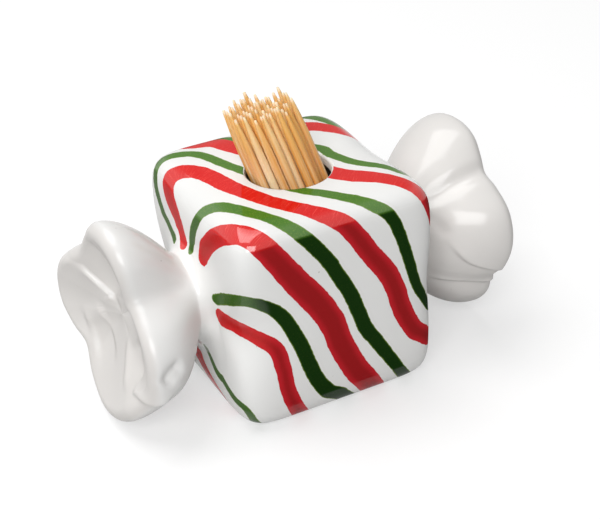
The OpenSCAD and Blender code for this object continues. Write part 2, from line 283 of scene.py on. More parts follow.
# Share of the gathers that the underside lacks
UNDERSIDE_FREE = 0.85
NECK_FILLET_POWER = 4


def rounded(angle, power):
    """Radius at an angle in degrees of a square whose corners are rounded by a power."""
    a = math.radians(angle)
    return (abs(math.cos(a)) ** power + abs(math.sin(a)) ** power) ** (-1 / power)


def smooth(t):
    u = min(1, max(0, t))
    return u * u * (3 - 2 * u)


def blend(a, b, t):
    return [x + (y - x) * t for x, y in zip(a, b)]


def half_length_of(block):
    """Half the length of the block between its necks."""
    return block.length_over_necks / 2 - block.neck_length


def middle_height(block):
    """Height of the middle of the block's section, as it is before the foot is ground."""
    return block.height - (block.height + block.foot_cut) / 2


def block_row(block, station):
    """The ring of the block at a station: x, half width, half height, power, two pinch shares and
    the share by which the lower left end swells out."""
    side = -1 if station < 0 else 1
    angle = min(abs(station), FACE_STATION)
    half_length = half_length_of(block)
    half_width = block.width / 2
    half_height = (block.height + block.foot_cut) / 2
    r = rounded(angle, block.edge_power)
    share = r * math.sin(math.radians(angle))
    s = r * math.cos(math.radians(angle))
    squareness = smooth((s - ROUND_UNDER) / (SQUARE_OVER - ROUND_UNDER))
    power = CIRCLE_POWER + (block.edge_power - CIRCLE_POWER) * squareness
    gather = share ** END_GATHER
    pinches = (
        (block.left_side_pinch, block.left_level_pinch) if side < 0
        else (block.right_pinch, block.right_pinch)
    )
    swell = block.left_foot_swell / half_length * gather if side < 0 else 0
    row = [share * half_length, s * half_width, s * half_height, power,
           pinches[0] / half_width * gather, pinches[1] / half_height * gather, swell]
    if abs(station) > FACE_STATION:
        t = (abs(station) - FACE_STATION) / (SEAM_STATION - FACE_STATION)
        out = math.sin(math.pi / 2 * t) ** NECK_FILLET_POWER
        inward = 1 - math.cos(math.pi / 2 * t) ** NECK_FILLET_POWER
        seam = [0, block.neck_radius, block.neck_radius, CIRCLE_POWER, 0, 0, 0]
        x = row[0] + (half_length + block.neck_length - row[0]) * out
        row = [x] + blend(row, seam, inward)[1:]
    return [side * row[0]] + row[1:]


def ring_point(block, row, turn):
    x, half_width, half_height, power, side_pinch, level_pinch, swell = row
    a = math.radians(turn)
    underside = smooth(-math.sin(a))
    pinch = side_pinch * math.cos(a) ** 2 + level_pinch * math.sin(a) ** 2
    pinch *= 1 - UNDERSIDE_FREE * underside
    r = rounded(turn, power) * (1 - pinch * ((1 + math.cos(4 * a)) / 2) ** EDGE_GATHER)
    along = x * (1 + swell * underside)
    across = half_width * r * math.cos(a)
    return Vector((along, across, middle_height(block) + half_height * r * math.sin(a)))


def block_point(block, station, turn):
    return ring_point(block, block_row(block, station), turn)


# Turns of the top's back and front edges, and how often the span between them is halved
TOP_TURNS = (50.0, 130.0)
HALVINGS = 24


def top_height(block, x, y):
    """Height of the block's top over a place near its middle, found between the top's two edges."""
    row = block_row(block, math.degrees(math.atan(x / half_length_of(block))))
    row[0] = x
    low, high = TOP_TURNS
    for _ in range(HALVINGS):
        turn = (low + high) / 2
        if ring_point(block, row, turn).y > y:
            low = turn
        else:
            high = turn
    return ring_point(block, row, turn).z


def wrapped_grid(bm, stations, turns, place):
    """A flat grid from -1 to 1 bent round the X axis; returns each vertex's station number and
    turn number."""
    last = len(stations) - 1
    made = bmesh.ops.create_grid(bm, x_segments=last, y_segments=turns, size=1)["verts"]
    numbers = {}
    for v in made:
        i = round((v.co.x + 1) / 2 * last)
        j = round((v.co.y + 1) / 2 * turns)
        numbers[v] = (i, j)
        v.co = place(stations[i], (j % turns) * 360 / turns)
    return numbers


def extrude_ring(bm, edges, place):
    """Extrudes a loop of edges once, places its new vertices, and returns its new edges."""
    made = bmesh.ops.extrude_edge_only(bm, edges=edges)["geom"]
    verts = {g for g in made if isinstance(g, bmesh.types.BMVert)}
    for v in verts:
        v.co = place(v.co)
    return [
        g for g in made
        if isinstance(g, bmesh.types.BMEdge) and g.verts[0] in verts and g.verts[1] in verts
    ]


def open_edges(bm, near):
    return [e for e in bm.edges if e.is_boundary and near((e.verts[0].co + e.verts[1].co) / 2)]


def finish_mesh(bm, name):
    """Merges a piece's doubles, turns its faces outwards and makes it an object."""
    bmesh.ops.remove_doubles(bm, verts=bm.verts, dist=MERGE_DISTANCE)
    bmesh.ops.dissolve_degenerate(bm, edges=bm.edges, dist=SLIVER_LENGTH)
    bmesh.ops.recalc_face_normals(bm, faces=bm.faces)
    for face in bm.faces:
        face.smooth = True
    mesh = bpy.data.meshes.new(name)
    bm.to_mesh(mesh)
    bm.free()
    piece = bpy.data.objects.new(name, mesh)
    bpy.context.scene.collection.objects.link(piece)
    return piece


def turn_outwards(bm):
    bmesh.ops.recalc_face_normals(bm, faces=bm.faces)
    bm.normal_update()


def close_end(bm, edges):
    """Fills a flat open end, and keeps its rim sharp."""
    bmesh.ops.holes_fill(bm, edges=edges, sides=0)
    for edge in edges:
        edge.smooth = False


# How finely the block is divided round its axis, and over its faces, fillets and mouth
BLOCK_TURNS = 320
FACE_STEPS = 56
FILLET_STEPS = 15
TOP_RINGS = 14
LIP_RINGS = 8
MOUTH_RINGS = 4
CAVITY_RINGS = 44
# Half side of the square of the top that is built round the mouth, as a share of the half width
PATCH_SHARE = 0.56


def spread(low, high, count):
    return [low + (high - low) * i / (count - 1) for i in range(count)]


def block_stations():
    fillet = spread(FACE_STATION, SEAM_STATION, FILLET_STEPS)[1:]
    half = spread(0, FACE_STATION, FACE_STEPS) + fillet
    return [-s for s in reversed(half[1:])] + half


def make_block(block):
    bm = bmesh.new()
    stations = block_stations()
    numbers = wrapped_grid(bm, stations, BLOCK_TURNS, lambda s, t: block_point(block, s, t))
    half_patch = block.width / 2 * PATCH_SHARE
    half_length = half_length_of(block)
    edge_station = math.degrees(math.atan(half_patch / half_length))
    edge_turn = math.degrees(math.atan(half_patch / (block.height / 2)))
    inside = {
        v for v, (i, j) in numbers.items()
        if abs(stations[i]) <= edge_station and abs(j * 360 / BLOCK_TURNS - 90) <= edge_turn
    }
    patch = [f for f in bm.faces if all(v in inside for v in f.verts)]
    bmesh.ops.delete(bm, geom=patch, context="FACES")
    bmesh.ops.remove_doubles(bm, verts=bm.verts, dist=MERGE_DISTANCE)
    ends = [
        open_edges(bm, lambda p: p.x < -half_length),
        open_edges(bm, lambda p: p.x > half_length),
    ]
    loop = open_edges(bm, lambda p: abs(p.x) < half_length)

    lip = block.mouth_lip
    rim = block.mouth_radius + lip
    mouth = Vector((0, -block.mouth_forward, 0))

    def at_radius(p, radius, z):
        out = p - mouth
        scale = radius / math.hypot(out.x, out.y)
        return mouth + Vector((out.x * scale, out.y * scale, z))

    for k in range(TOP_RINGS):
        def towards_rim(p, k=k):
            reach = math.hypot(p.x, p.y - mouth.y)
            place = at_radius(p, reach + (rim - reach) / (TOP_RINGS - k), 0)
            return Vector((place.x, place.y, top_height(block, place.x, place.y)))
        loop = extrude_ring(bm, loop, towards_rim)
    for angle in spread(0, 90, LIP_RINGS)[1:]:
        a = math.radians(angle)

        def over_lip(p, a=a):
            edge = at_radius(p, rim, 0)
            z = top_height(block, edge.x, edge.y)
            return at_radius(p, rim - lip * math.sin(a), z - lip * (1 - math.cos(a)))
        loop = extrude_ring(bm, loop, over_lip)
    for z in spread(block.height - lip * 2, block.height - block.mouth_edge, MOUTH_RINGS):
        loop = extrude_ring(bm, loop, lambda p, z=z: at_radius(p, block.mouth_radius, z))

    outer = Vector((half_length, block.width / 2, block.height / 2))
    half = outer - Vector((1, 1, 1)) * block.wall
    middle = block.height / 2
    first = math.degrees(math.atan2(block.mouth_radius + 2 * block.mouth_forward, half.z))
    for polar in spread(first, 180, CAVITY_RINGS):
        a = math.radians(polar)

        def on_cavity(p, a=a):
            turn = math.atan2(p.y, p.x)
            d = Vector((math.sin(a) * math.cos(turn), math.sin(a) * math.sin(turn), math.cos(a)))
            power = block.cavity_power
            r = sum(abs(c / h) ** power for c, h in zip(d, half)) ** (-1 / power)
            return Vector((0, 0, middle)) + d * r
        loop = extrude_ring(bm, loop, on_cavity)
    for edges in ends:
        close_end(bm, edges)
    for v in bm.verts:
        v.co.z = max(v.co.z, 0)
    return bm


def spline(points, steps):
    """A smooth curve through a list of points, as a list of points."""
    p = [Vector(q) for q in points]
    p = [2 * p[0] - p[1]] + p + [2 * p[-1] - p[-2]]
    curve = []
    for a, b, c, d in zip(p, p[1:], p[2:], p[3:]):
        for k in range(steps):
            t = k / steps
            curve.append(0.5 * (2 * b + (c - a) * t + (2 * a - 5 * b + 4 * c - d) * t ** 2
                                + (3 * b - 3 * c + d - a) * t ** 3))
    return curve + [p[-2]]


def width_at(widths, station):
    for (s0, w0), (s1, w1) in zip(widths, widths[1:]):
        if station <= s1:
            return w0 + (w1 - w0) * max(0, (station - s0) / (s1 - s0))
    return widths[-1][1]


STRIPE_STEPS = 40
# Depth in millimetres that stands for no stripe, and how far outside a stripe its stroke goes
UNPAINTED = -5.0
STROKE_MARGIN = 0.6
# Share of the lip's radius that stays bare, and share of the height over which the mouth lies
BARE_LIP = 0.4
MOUTH_HEIGHT = 0.9
CAVITY_MARGIN = 0.3 * MM
# The streaks' noise moves on with each point of a stripe and starts again after this many
STROKE_NUMBERS = 97


def stripe_samples(block):
    """Close points along every stripe: place, direction, run along it, half width and paint."""
    samples = []
    for paint, path, widths in STRIPES:
        run = 0
        previous = None
        for station, turn in spline(path, STRIPE_STEPS):
            p = block_point(block, station, turn)
            if previous is not None:
                run += (p - previous).length
                samples.append((p, (p - previous).normalized(), run,
                                width_at(widths, station) / 2 * MM, paint))
            previous = p
    return samples


def is_bare(block, p):
    """Whether a place lies inside the mouth or on the cavity, where no stripe goes."""
    reach = math.hypot(p.x, p.y + block.mouth_forward)
    in_mouth = reach < block.mouth_radius + BARE_LIP * block.mouth_lip
    half = (half_length_of(block), block.width / 2, block.height / 2)
    outward = (abs(p.x), abs(p.y), abs(p.z - block.height / 2))
    buried = max(o - h for o, h in zip(outward, half)) + block.wall < CAVITY_MARGIN
    return buried or in_mouth and p.z > MOUTH_HEIGHT * block.height


def tree_of(places):
    tree = KDTree(len(places))
    for i, place in enumerate(places):
        tree.insert(place, i)
    tree.balance()
    return tree


def paint_stripes(bm, block):
    """Gives every vertex its depth inside the nearest stripe of each paint, its place in the brush
    stroke and the way it faces."""
    samples = stripe_samples(block)
    stroke = bm.verts.layers.float_vector.new("stroke")
    facing = bm.verts.layers.float_vector.new("facing")
    for v in bm.verts:
        v[facing] = v.normal
    for paint in ("red", "green"):
        chosen = [s for s in samples if s[4] == paint]
        tree = tree_of([s[0] for s in chosen])
        layer = bm.verts.layers.float.new(paint + "_depth")
        for v in bm.verts:
            place, i, distance = tree.find(v.co)
            _, direction, run, half_width, _ = chosen[i]
            v[layer] = UNPAINTED if is_bare(block, v.co) else (half_width - distance) / MM
            if v[layer] > -STROKE_MARGIN:
                across = (v.co - place).dot(direction.cross(v.normal))
                v[stroke] = Vector((run / MM, across / MM, i % STROKE_NUMBERS))


def around(rows, turn):
    """The values of a closed list of (turn, value, ...) rows at a turn, on smooth curves."""
    count = len(rows)
    turns = [row[0] for row in rows]
    i = next(i for i in range(count)
             if (turn - turns[i]) % 360 <= (turns[(i + 1) % count] - turns[i]) % 360)
    near = [rows[(i + k) % count] for k in (-1, 0, 1, 2)]
    before, span, after = [(b[0] - a[0]) % 360 for a, b in zip(near, near[1:])]
    t = (turn - near[1][0]) % 360 / span
    values = []
    for a, b, c, d in zip(*[row[1:] for row in near]):
        slope_b = (c - a) / (before + span) * span
        slope_c = (d - b) / (span + after) * span
        values.append(b + slope_b * t + (3 * (c - b) - 2 * slope_b - slope_c) * t ** 2
                      + (slope_b + slope_c - 2 * (c - b)) * t ** 3)
    return values


# How finely a twist is divided round its axis, up its side, over its lip and down its dish
TWIST_TURNS = 300
SIDE_LEVELS = 36
LIP_LEVELS = 12
END_LEVELS = 44
CREST_TURN = 90
LIP_TURN = 125
# How much a lobe shortens where its rim is narrow, how its side flares, for what share of its
# length it keeps near the neck, and how its dish deepens
NARROW_SHORTENING = 0.3
FLARE_POWER = 1.8
NECK_HOLD = 0.06
DISH_POWER = 1.5


def twist_profile(twist, block, rim_rows, turn):
    """Distances from the seam and from the axis: up the side, over the lip and down the dish."""
    share, reach, flare = around(rim_rows, turn)
    rim = twist.radius * share
    lack = max(0, 1 - share)
    length = (twist.length * reach - twist.lip) * (1 - NARROW_SHORTENING * lack)
    power = FLARE_POWER * flare
    neck = block.neck_radius
    profile = []
    for s in spread(0, 1, SIDE_LEVELS + 1):
        run = s * s / (s + NECK_HOLD) * (1 + NECK_HOLD)
        profile.append((length * s, neck + (rim - neck) * (1 - (1 - run) ** power)))
    for degrees in spread(0, LIP_TURN, LIP_LEVELS + 1)[1:]:
        a = math.radians(degrees)
        profile.append((length + twist.lip * math.sin(a), rim - twist.lip * (1 - math.cos(a))))
    edge = profile[-1]
    middle = twist.length - twist.dish_depth
    for s in spread(1, 0, END_LEVELS + 1)[1:]:
        fold = twist.fold_depth * lack * math.sin(math.pi * s)
        profile.append((middle + (edge[0] - middle) * s ** DISH_POWER - fold, edge[1] * s))
    return profile


def twist_place(block, side, along, radius, turn):
    """The place at a distance from the seam and from the axis of the twist on a side."""
    a = math.radians(turn)
    x = side * (block.length_over_necks / 2 + along)
    return Vector((x, radius * math.cos(a), middle_height(block) + radius * math.sin(a)))


def twist_point(twist, block, rim_rows, side, level, turn):
    """A place on a twist at a level between 0 and 2, where the rim's crest is at 1."""
    profile = twist_profile(twist, block, rim_rows, turn)
    crest = SIDE_LEVELS + LIP_LEVELS * CREST_TURN / LIP_TURN
    last = len(profile) - 1
    number = level * crest if level < 1 else crest + (level - 1) * (last - crest)
    i = min(int(number), last - 1)
    along, radius = blend(profile[i], profile[i + 1], number - i)
    return twist_place(block, side, along, radius, turn)


FOLD_STEPS = 24
# Width in millimetres of a steep side, and how far a fold reaches, in its own widths
STEEP_WIDTH = 1.2
FOLD_REACH = 4
# Share of a fold's length over which it rises at each end
FOLD_ENDS = 0.25
# A fold's way of facing is the mean over this many points to each side
FACING_POINTS = 8
# A vertex belongs to the fold's side of the sheet from this cosine on, and fully this much later
SAME_SIDE = 0.1
SAME_SIDE_BLEND = 0.5


def fold_surface(bm, folds, place):
    """Raises and sinks the surface along the paths of the folds."""
    surface = tree_of([v.co for v in bm.verts])
    bm.verts.ensure_lookup_table()
    for rise, width, one_sided, path in folds:
        points = [place(level, turn) for level, turn in spline(path, FOLD_STEPS)]
        found = [bm.verts[surface.find(p)[1]].normal for p in points]
        facing = []
        for i in range(len(found)):
            nearby = found[max(0, i - FACING_POINTS):i + FACING_POINTS + 1]
            facing.append(sum(nearby, Vector()).normalized())
        tree = tree_of(points)
        last = len(points) - 1
        moves = []
        for v in bm.verts:
            near, i, distance = tree.find(v.co)
            distance /= MM
            same_side = smooth((v.normal.dot(facing[i]) - SAME_SIDE) / SAME_SIDE_BLEND)
            if distance > FOLD_REACH * width or not same_side:
                continue
            end = smooth(min(i, last - i) / last / FOLD_ENDS)
            ahead = (points[min(last, i + 1)] - points[max(0, i - 1)]).normalized()
            off = (v.co - near).dot(ahead.cross(v.normal)) / MM
            if one_sided and off < 0:
                height = smooth(1 + off / STEEP_WIDTH)
            elif one_sided:
                height = math.exp(-distance / width)
            else:
                height = math.exp(-(distance / width) ** 2)
            moves.append((v, v.normal * (rise * MM * height * same_side * end)))
        for v, move in moves:
            v.co += move
        bm.normal_update()


def make_twist(twist, block, rim_rows, folds, side):
    bm = bmesh.new()
    profiles = [
        twist_profile(twist, block, rim_rows, j * 360 / TWIST_TURNS) for j in range(TWIST_TURNS)
    ]

    def place(level, turn):
        along, radius = profiles[round(turn * TWIST_TURNS / 360) % TWIST_TURNS][level]
        return twist_place(block, side, along, radius, turn)

    def fold_place(level, turn):
        return twist_point(twist, block, rim_rows, side, level, turn)

    wrapped_grid(bm, list(range(len(profiles[0]))), TWIST_TURNS, place)
    bmesh.ops.remove_doubles(bm, verts=bm.verts, dist=MERGE_DISTANCE)
    at_seam = block.length_over_necks / 2 + 0.1 * MM
    close_end(bm, open_edges(bm, lambda p: abs(p.x) < at_seam))
    turn_outwards(bm)
    fold_surface(bm, folds, fold_place)
    return bm


# Each toothpick's own differences: shares of the radius, the tip and the point, and tone
RADIUS_SHARES = (0.93, 1)
TIP_SHARES = (0.6, 0.95)
POINT_SHARES = (0.85, 1.15)
TONES = (-0.22, 0.22)
TOOTHPICK_SIDES = 20
POINT_STEPS = 8
POINT_POWER = 1.7
TIP_BEVEL = 0.12 * MM
TIP_BEVEL_SHARE = 0.6
CUT_END_DEPTH = 0.35 * MM


def make_toothpick(pick, low, high, axis, draws):
    """A toothpick between the corners of its solid's box, with its own small irregularities."""
    reach = [math.sqrt(1 - a * a) * pick.tip_radius for a in axis]
    signs = [1 if a > 0 else -1 for a in axis]
    foot = Vector([(low[i] if signs[i] > 0 else high[i]) + signs[i] * reach[i] for i in range(3)])
    head = Vector([(high[i] if signs[i] > 0 else low[i]) - signs[i] * reach[i] for i in range(3)])
    length = (head - foot).length
    radius = pick.radius * draws.uniform(*RADIUS_SHARES)
    tip = pick.tip_radius * draws.uniform(*TIP_SHARES)
    point = pick.point * draws.uniform(*POINT_SHARES)
    end_radius = tip * TIP_BEVEL_SHARE
    bm = bmesh.new()
    made = bmesh.ops.create_circle(
        bm, cap_ends=False, radius=end_radius, segments=TOOTHPICK_SIDES)["verts"]
    loop = list({e for v in made for e in v.link_edges})
    ends = list(loop)
    profile = [(TIP_BEVEL, tip)]
    for s in spread(0, 1, POINT_STEPS)[1:]:
        profile.append((point * s, tip + (radius - tip) * (1 - (1 - s) ** POINT_POWER)))
    profile = profile + [(length - z, r) for z, r in reversed(profile)] + [(length, end_radius)]
    for z, r in profile:
        def at(p, z=z, r=r):
            scale = r / math.hypot(p.x, p.y)
            return Vector((p.x * scale, p.y * scale, z))
        loop = extrude_ring(bm, loop, at)
    close_end(bm, ends)
    close_end(bm, loop)
    cut_end_highlight = bm.verts.layers.float.new("cut_end_highlight")
    tone = bm.verts.layers.float.new("tone")
    own_tone = draws.uniform(*TONES)
    for v in bm.verts:
        v[tone] = own_tone
        v[cut_end_highlight] = max(0, 1 - min(v.co.z, length - v.co.z) / CUT_END_DEPTH)
    turn = Matrix.Rotation(draws.uniform(0, math.tau), 4, "Z")
    lean = Vector((0, 0, 1)).rotation_difference(head - foot).to_matrix().to_4x4()
    bmesh.ops.transform(bm, matrix=Matrix.Translation(foot) @ lean @ turn, verts=bm.verts)
    return bm


# Shader expressions


class Expression:
    """A socket of a shader that takes part in sums, as in 1 - mask * 0.5."""

    def __init__(self, shader, socket):
        self.shader = shader
        self.socket = socket

    def math(self, operation, first, second):
        node = self.shader.add("ShaderNodeMath", {"operation": operation}, {0: first, 1: second})
        return Expression(self.shader, node.outputs[0])

    def __add__(self, other):
        return self.math("ADD", self, other)

    def __sub__(self, other):
        return self.math("SUBTRACT", self, other)

    def __rsub__(self, other):
        return self.math("SUBTRACT", other, self)

    def __mul__(self, other):
        return self.math("MULTIPLY", self, other)

    __radd__ = __add__
    __rmul__ = __mul__


class Shader:
    """A node tree that is built up by one call for each node."""

    def __init__(self, tree):
        self.tree = tree

    def add(self, kind, settings=None, inputs=None):
        node = self.tree.nodes.new(kind)
        for key, value in (settings or {}).items():
            setattr(node, key, value)
        self.finish(node, inputs or {})
        return node

    def feed(self, socket, value):
        if isinstance(value, Expression):
            value = value.socket
        if isinstance(value, bpy.types.NodeSocket):
            self.tree.links.new(value, socket)
        elif hasattr(socket.default_value, "__len__") and len(socket.default_value) == 4:
            socket.default_value = tuple(value)[:3] + (1,)
        else:
            socket.default_value = value

    def finish(self, node, inputs):
        for key, value in inputs.items():
            self.feed(node.inputs[key], value)

    def value(self, socket):
        return Expression(self, socket)

    def attribute(self, name, output="Fac"):
        node = self.add("ShaderNodeAttribute", {"attribute_name": name})
        return self.value(node.outputs[output])

    def axes(self, vector):
        return [self.value(s) for s in self.add("ShaderNodeSeparateXYZ", {}, {0: vector}).outputs]

    def place(self):
        return self.add("ShaderNodeTexCoord").outputs["Object"]

    def scaled(self, vector, scale):
        node = self.add("ShaderNodeVectorMath", {"operation": "MULTIPLY"}, {0: vector, 1: scale})
        return node.outputs[0]

    def noise(self, vector, scale=1.0, detail=2, roughness=0.5):
        node = self.add("ShaderNodeTexNoise", {}, {
            "Vector": vector, "Scale": scale, "Detail": detail, "Roughness": roughness})
        return self.value(node.outputs["Fac"])

    def step(self, value, low, high):
        """0 below low, 1 over high, smooth between."""
        node = self.add("ShaderNodeMapRange", {"interpolation_type": "SMOOTHSTEP"}, {
            "Value": value, "From Min": low, "From Max": high})
        return self.value(node.outputs["Result"])

    def mix(self, factor, first, second):
        node = self.add("ShaderNodeMix", {"data_type": "RGBA"}, {0: factor, 6: first, 7: second})
        return node.outputs[2]

    def bump(self, height, distance, strength=1.0):
        node = self.add("ShaderNodeBump", {}, {
            "Strength": strength, "Distance": distance, "Height": height})
        return node.outputs["Normal"]


def new_material(name):
    material = bpy.data.materials.new(name)
    material.use_nodes = True
    shader = Shader(material.node_tree)
    return material, shader, material.node_tree.nodes["Principled BSDF"]


# The glazes: refraction, roughness of the gloss, ripple, cloud and specks
GLAZE_IOR = 1.62
BLOCK_ROUGHNESS = 0.06
TWIST_ROUGHNESS = 0.16
RIPPLE_HEIGHT = 0.04 * MM
CLOUD_SHADE = 0.975
SPECK_STRENGTH = 0.55


def glaze_surface(shader, principled, gloss, roughness):
    """A gloss coat of the weight and roughness given, with the faint ripple of fired glaze."""
    ripple = shader.bump(shader.noise(shader.place(), scale=240), RIPPLE_HEIGHT, strength=0.35)
    shader.finish(principled, {
        "Roughness": 0.5, "Specular IOR Level": 0, "Coat Roughness": roughness,
        "Coat IOR": GLAZE_IOR, "Coat Weight": gloss, "Normal": ripple})


def white_glaze(shader, paint, tone):
    """White glaze with a faint cloud of tone and a few dark specks."""
    place = shader.place()
    cloud = shader.step(shader.noise(place, scale=60, detail=3), 0.3, 0.7)
    white = shader.mix(cloud, [c * CLOUD_SHADE for c in tone], tone)
    speck = shader.step(shader.noise(place, scale=900, detail=1), 0.79, 0.83)
    return shader.mix(speck * SPECK_STRENGTH, white, paint.speck)


def plain_glaze_material(paint):
    """White glaze of the twists, glossier on upper faces and greyed by painted shade on the dished
    ends and all over the right twist.
    """
    material, shader, principled = new_material("white_glaze")
    upward = shader.attribute("upward")
    gloss = shader.step(upward, -0.1, 0.7) * 0.3 + 0.2
    glaze_surface(shader, principled, gloss, TWIST_ROUGHNESS)
    # Painted shade greys the twists' glaze where this attribute is high
    painted_shade = shader.attribute("painted_shade")
    white = white_glaze(shader, paint, paint.twist_white)
    shader.finish(principled, {"Base Color": shader.mix(painted_shade, white, paint.painted_shade_white)})
    return material


# Limits, of how far a place faces a way or of its depth in a stripe in millimetres, between which
# each trait of the striped glaze comes in
ROUNDING_LIT = (0.43, 0.49)
FLAT_TOP = (0.88, 0.99)
# From here the limits also set painted light and shade on the stripes: lighter paint on the left
# end and on upper faces, darker paint on the back edge
LEFT_END = (0.25, 0.7)
BACK_EDGE = (0.1, 0.4)
PAINTED_LIGHT_FACING = (0.36, 0.52)
TABLE_SHINE = (0.11, 0.15)
PAINT_EDGE = (-0.05, 0.08)
GREEN_RIM = (0.0, 0.34)
RED_MIDDLE = (0.1, 2.0)


def striped_glaze_material(paint):
    """White glaze under brushed red and green stripes, with painted light on top and painted shade
    on upright faces.
    """
    material, shader, principled = new_material("striped_glaze")
    rightward, backward, upward = shader.axes(shader.attribute("facing", "Vector"))
    place = shader.place()
    waver = shader.noise(place, scale=110) - 0.5
    lit_edge = upward + waver * 0.1
    rounding = shader.step(lit_edge, *ROUNDING_LIT)
    flat_top = shader.step(upward, *FLAT_TOP)
    # Painted light and shade on the paint: the left end, which faces the light, is lightened, and
    # the back edge, which turns away, is darkened; both also change the gloss
    left_end = shader.step(0 - rightward, *LEFT_END) * (1 - rounding)
    back_edge = shader.step(backward, *BACK_EDGE)
    # thin holds the painted light and shade of the stripes' paint: near 1 where a place faces up
    # and is lit, near 0 on upright faces in shade
    thin = shader.step(lit_edge, *PAINTED_LIGHT_FACING) * (1 - back_edge * 0.5) + left_end * 0.5
    table_shine = shader.step(0 - upward + waver * 0.03, *TABLE_SHINE)
    shine = rounding * (0.95 - flat_top * 0.65) * (1 - back_edge * 0.9)
    gloss = shine + table_shine * 0.4 + left_end * 0.25 + 0.05
    glaze_surface(shader, principled, gloss, BLOCK_ROUGHNESS)

    coarse = shader.noise(place, scale=420, detail=3) - 0.5
    fine = shader.noise(place, scale=1500) - 0.5
    wobble = coarse * 0.5 + fine * 0.16
    stroke = shader.attribute("stroke", "Vector")
    along = shader.scaled(stroke, (0.12, 2.6, 1))
    streak = shader.noise(along, detail=4, roughness=0.6)
    green_depth = shader.attribute("green_depth") + wobble
    # Green shown lit on upper faces as painted light and shaded on upright faces as painted shade
    green = shader.mix(thin, paint.green_painted_shade, paint.green_painted_lit)
    thinned = shader.step(streak, 0.45, 0.8) * (thin * 0.55 + 0.05)
    green = shader.mix(thinned, green, paint.green_rim)
    rim = 1 - shader.step(green_depth, *GREEN_RIM)
    green = shader.mix(rim * 0.7, green, paint.green_rim)

    red_depth = shader.attribute("red_depth") + wobble
    middle = shader.step(red_depth, *RED_MIDDLE)
    # Red shown lit on upper faces as painted light and shaded on upright faces as painted shade,
    # with the real thinner edges of the stripes lighter there
    red = shader.mix(thin, shader.mix(middle, paint.red_edge, paint.red_painted_shade), paint.red_painted_lit)
    across = shader.scaled(stroke, (0.9, 0.22, 1))
    # The brush marks show where the painted light falls, and on upright faces the streaks lighten
    # the painted shade's red
    marks = shader.step(shader.noise(across, detail=3, roughness=0.6), 0.52, 0.72) * (thin * 0.4)
    lighter = shader.mix(thin, [c * 1.5 for c in paint.red_painted_shade], paint.red_streak)
    red = shader.mix(shader.step(streak, 0.5, 0.85) * 0.4 + marks, red, lighter)

    colour = white_glaze(shader, paint, paint.white)
    colour = shader.mix(shader.step(green_depth, *PAINT_EDGE), colour, green)
    colour = shader.mix(shader.step(red_depth, *PAINT_EDGE), colour, red)
    shader.finish(principled, {"Base Color": colour})
    return material


# Scales of the bamboo's grain, tone and fibres, across and along the toothpicks
GRAIN = (2600, 2600, 60)
TONE = (380, 380, 9)
FIBRE = (5200, 5200, 160)
FIBRE_HEIGHT = 0.05 * MM
# Heights between which the wood turns golden
GOLDEN_HEIGHTS = (50 * MM, 64 * MM)


def bamboo_material(pick, lean):
    """Bare bamboo with grain along the lean of the bundle."""
    material, shader, principled = new_material("bamboo")
    turned = shader.add("ShaderNodeMapping", {"vector_type": "TEXTURE"}, {
        "Vector": shader.place(), "Rotation": lean}).outputs["Vector"]
    grain = shader.noise(shader.scaled(turned, GRAIN), detail=3)
    tone = shader.noise(shader.scaled(turned, TONE))
    own = shader.attribute("tone")
    mix = shader.step(grain * 0.55 + tone * 0.75 + own * 0.6, 0.42, 0.86)
    wood = shader.mix(mix, pick.pale, pick.dark)
    height = shader.axes(shader.place())[2]
    wood = shader.mix(shader.step(height, *GOLDEN_HEIGHTS) * 0.55, wood, pick.golden)
    # The blunt ends are paler cut wood with a painted highlight on them
    cut_end_highlight = shader.attribute("cut_end_highlight")
    wood = shader.mix(shader.step(cut_end_highlight, 0.1, 0.6) * 0.55, wood, pick.cut_end_highlight)
    fibre = shader.bump(shader.noise(shader.scaled(turned, FIBRE)), FIBRE_HEIGHT, strength=0.5)
    shader.finish(principled, {
        "Base Color": wood, "Roughness": grain * 0.2 + 0.38, "Subsurface Weight": 0.15,
        "Subsurface Radius": (1.2 * MM, 0.6 * MM, 0.3 * MM), "Normal": fibre})
    return material


def show(piece, material, body, node):
    """Makes a piece stand for its CAD node on the body that carries it."""
    piece.data.materials.append(material)
    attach(piece, body)
    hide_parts(node)


class CANDY_OT_block(bpy.types.Operator):
    """Add the hollow striped block with its mouth and necks"""

    bl_idname = "candy.block"
    bl_label = "Candy Block"

    def execute(self, context):
        scene = context.scene
        bm = make_block(scene.candy_block)
        turn_outwards(bm)
        paint_stripes(bm, scene.candy_block)
        piece = finish_mesh(bm, "striped_block")
        show(piece, striped_glaze_material(scene.candy_paint), BODY, "candy_body")
        return {"FINISHED"}


# Least share of painted shade on each twist, and the limits of how far outward its dish faces
LEFT_PAINTED_SHADE = 0
RIGHT_PAINTED_SHADE = 0.85
DISH_FACING = (0.1, 0.8)


class CANDY_OT_twists(bpy.types.Operator):
    """Add the gathered wrapper twist at each end"""

    bl_idname = "candy.twists"
    bl_label = "Wrapper Twists"

    def execute(self, context):
        scene = context.scene
        glaze = plain_glaze_material(scene.candy_paint)
        low, high = DISH_FACING
        for name, rim_rows, folds, side, least in (
            ("left", LEFT_RIM, LEFT_FOLDS, -1, LEFT_PAINTED_SHADE),
            ("right", RIGHT_RIM, RIGHT_FOLDS, 1, RIGHT_PAINTED_SHADE),
        ):
            bm = make_twist(scene.candy_twist, scene.candy_block, rim_rows, folds, side)
            turn_outwards(bm)
            upward = bm.verts.layers.float.new("upward")
            painted_shade = bm.verts.layers.float.new("painted_shade")
            # Painted shade: the dish that faces outwards along the axis greys fully, and the right
            # twist greys nearly fully all over
            for v in bm.verts:
                v[upward] = v.normal.z
                v[painted_shade] = max(least, smooth((v.normal.x * side - low) / (high - low)))
            piece = finish_mesh(bm, name + "_twist")
            show(piece, glaze, BODY, "wrapper_twist_" + name)
        return {"FINISHED"}


